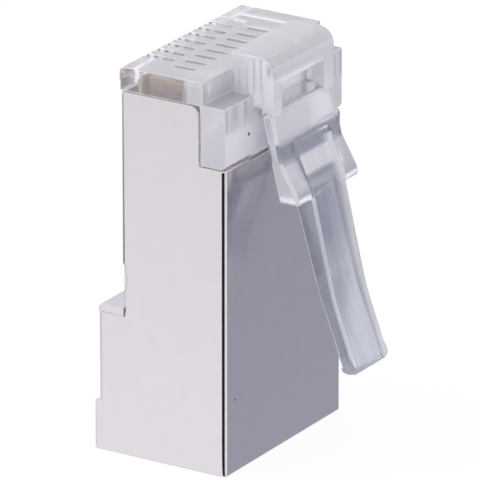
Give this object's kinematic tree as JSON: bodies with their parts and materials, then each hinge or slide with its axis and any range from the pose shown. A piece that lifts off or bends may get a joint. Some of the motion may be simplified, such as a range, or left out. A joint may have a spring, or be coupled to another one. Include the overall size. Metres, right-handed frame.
{
  "type": "shielded modular plug",
  "caption": "Clear moulded modular plug in a folded nickel shield, with gold contact blades and a sprung latch that locks it in a network jack.",
  "frame": {"origin": "on the axis of the cable bore, at the rear face that the plug stands on", "axes": "+Z along the plug to its nose, -Y out of the latch face, +Y out of the contact face, +X to the right when looking at the contact face from the latch side"},
  "size_m": [0.0116, 0.0135, 0.0226],
  "materials": {
    "clear_plastic": "clear moulded polycarbonate",
    "nickel_sheet": "bright nickel plate on thin sheet",
    "gold_plate": "gold plate on a bronze blade"
  },
  "bodies": {
    "plug_body": {"housing": "clear_plastic", "shield": "nickel_sheet", "contact_1": "gold_plate", "contact_2": "gold_plate", "contact_3": "gold_plate", "contact_4": "gold_plate", "contact_5": "gold_plate", "contact_6": "gold_plate", "contact_7": "gold_plate", "contact_8": "gold_plate"},
    "latch_lever": {"latch": "clear_plastic"}
  },
  "joints": [
    {"name": "latch_press", "type": "hinge", "parent": "plug_body", "child": "latch_lever", "pos_m": [0, -0.00487, 0.0192], "axis": [1, 0, 0], "range_deg": [0, 14], "stiffness_Nm_per_rad": 0.25}
  ]
}
